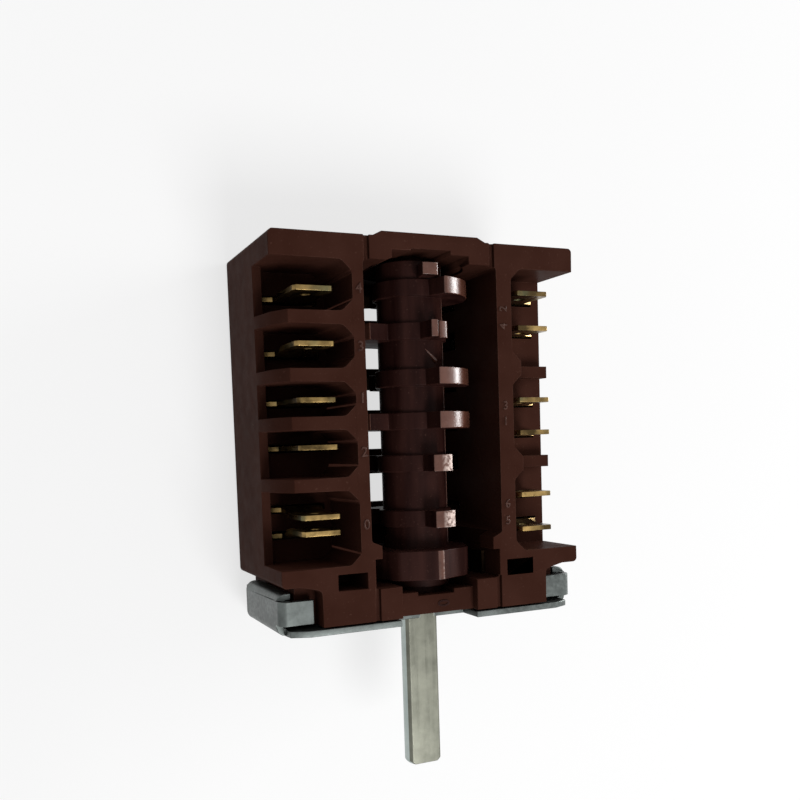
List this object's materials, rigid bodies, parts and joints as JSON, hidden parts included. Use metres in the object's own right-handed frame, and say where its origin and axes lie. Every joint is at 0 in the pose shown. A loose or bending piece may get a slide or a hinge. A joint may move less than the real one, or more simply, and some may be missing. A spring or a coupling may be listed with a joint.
{
  "type": "rotary cam switch",
  "caption": "Rotary cam switch of a cooker: brown moulded housing open at the front, cam drum, brass tab terminals in two banks, folded steel mounting plate and D-shaft.",
  "frame": {"origin": "middle of the bounding box in plan, at the level of the housing's back face", "axes": "+X across the two banks of terminals, +Y along the shaft, away from its free end, +Z from the housing's back to its open front"},
  "size_m": [0.0518, 0.0854, 0.0262],
  "materials": {
    "thermoset": "moulded satin, dark brown",
    "drum_plastic": "moulded half gloss, brown",
    "zinc_steel": "zinc plated, slightly dulled",
    "brass_sheet": "stamped, slightly tarnished",
    "spring_bronze": "rolled strip",
    "silver": "satin"
  },
  "bodies": {
    "body": {"housing": "thermoset", "mounting_plate": "zinc_steel", "left_terminal_1": "brass_sheet", "left_terminal_2": "brass_sheet", "left_terminal_3": "brass_sheet", "left_terminal_4": "brass_sheet", "left_terminal_5": "brass_sheet", "left_terminal_6": "brass_sheet", "right_terminal_1": "brass_sheet", "right_terminal_2": "brass_sheet", "right_terminal_3": "brass_sheet", "right_terminal_4": "brass_sheet", "right_terminal_5": "brass_sheet", "right_terminal_6": "brass_sheet", "contact_spring_1": "spring_bronze", "contact_spring_2": "spring_bronze", "contact_spring_3": "spring_bronze", "contact_spring_4": "spring_bronze", "contact_spring_5": "spring_bronze", "contact_spring_6": "spring_bronze", "moving_contact_1": "silver", "moving_contact_2": "silver", "moving_contact_3": "silver", "moving_contact_4": "silver", "moving_contact_5": "silver", "moving_contact_6": "silver", "fixed_contact_1": "silver", "fixed_contact_2": "silver", "fixed_contact_3": "silver", "fixed_contact_4": "silver", "fixed_contact_5": "silver", "fixed_contact_6": "silver", "left_index_spring": "spring_bronze", "right_index_spring": "spring_bronze"},
    "drum": {"camshaft": "drum_plastic", "drive_shaft": "zinc_steel"}
  },
  "joints": [
    {"name": "drum_turn", "type": "hinge", "parent": "body", "child": "drum", "pos_m": [0, -0.0044, 0.0168], "axis": [0, 1, 0], "continuous": true, "deforming": ["left_index_spring", "right_index_spring"]}
  ]
}
